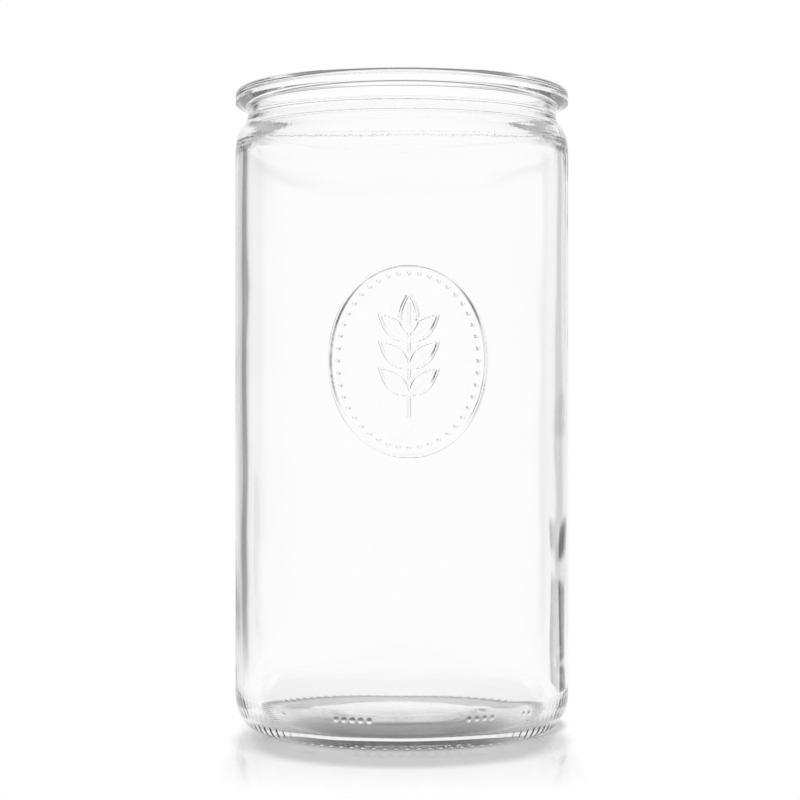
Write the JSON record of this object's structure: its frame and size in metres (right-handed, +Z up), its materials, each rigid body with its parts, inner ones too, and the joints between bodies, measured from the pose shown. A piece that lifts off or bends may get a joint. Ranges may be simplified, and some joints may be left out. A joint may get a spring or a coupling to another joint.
{
  "type": "canning jar",
  "caption": "Tall cylindrical canning jar of clear moulded glass, with a flanged rim, short neck, rounded shoulder and heel, and a wide open mouth for a clip-on lid.",
  "frame": {"origin": "centre of the bearing ring, on the plane that the jar stands on", "axes": "+Z up along the jar's axis, through the middle of the mouth; -Y is the pictured front"},
  "size_m": [0.108, 0.108, 0.205],
  "materials": {
    "clear_glass": "clear colourless soda-lime glass, fire-polished"
  },
  "bodies": {
    "root": {"jar_body": "clear_glass"}
  },
  "joints": []
}
